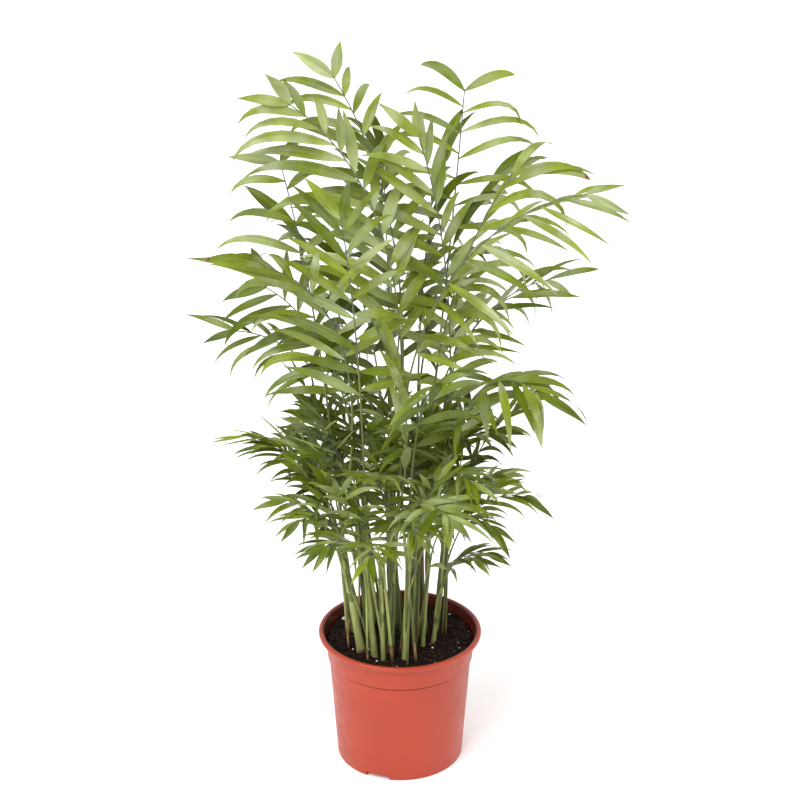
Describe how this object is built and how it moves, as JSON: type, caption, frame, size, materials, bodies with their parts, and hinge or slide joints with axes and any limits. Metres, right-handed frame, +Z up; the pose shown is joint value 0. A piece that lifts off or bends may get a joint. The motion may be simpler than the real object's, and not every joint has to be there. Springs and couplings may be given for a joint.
{
  "type": "potted parlour palm",
  "caption": "Whole parlour palm in its pot: a clump of slim green canes with upright, arching feathered fronds over a skirt of short ones, in a round pot of compost",
  "frame": {"origin": "Centre of the pot's flat underside.", "axes": "+Z up the plant; +X to the right and +Y to the back, as seen from its front."},
  "size_m": [0.4329, 0.4315, 0.7542],
  "materials": {
    "pot": "satin moulded polypropylene, terracotta orange",
    "compost": "damp, crumbly peat",
    "cane": "smooth green stem, ringed, with dry sheaths",
    "frond": "glossy leaf, mid to lime green",
    "low_frond": "glossy leaf, deep green"
  },
  "bodies": {
    "root": {"pot": "pot", "compost": "compost", "cane_1": "cane", "cane_2": "cane", "cane_3": "cane", "cane_4": "cane", "cane_5": "cane", "cane_6": "cane", "cane_7": "cane", "cane_8": "cane", "cane_9": "cane", "cane_10": "cane", "cane_11": "cane", "cane_12": "cane", "cane_13": "cane", "cane_14": "cane", "cane_15": "cane", "frond_1": "frond", "frond_2": "frond", "frond_3": "frond", "frond_4": "frond", "frond_5": "frond", "frond_6": "frond", "frond_7": "frond", "frond_8": "frond", "frond_9": "frond", "frond_10": "frond", "frond_11": "frond", "frond_12": "frond", "frond_13": "frond", "frond_14": "frond", "frond_15": "frond", "frond_16": "frond", "frond_17": "frond", "frond_18": "frond", "frond_19": "frond", "frond_20": "frond", "frond_21": "frond", "frond_22": "frond", "frond_23": "frond", "frond_24": "frond", "low_fronds_1": "low_frond", "low_fronds_2": "low_frond", "low_fronds_3": "low_frond", "low_fronds_4": "low_frond", "low_fronds_5": "low_frond", "low_fronds_6": "low_frond", "low_fronds_7": "low_frond", "low_fronds_8": "low_frond", "low_fronds_9": "low_frond", "low_fronds_10": "low_frond", "low_fronds_11": "low_frond", "low_fronds_12": "low_frond", "low_fronds_13": "low_frond", "low_fronds_14": "low_frond", "low_fronds_15": "low_frond", "low_fronds_16": "low_frond", "low_fronds_17": "low_frond", "low_fronds_18": "low_frond"}
  },
  "joints": []
}
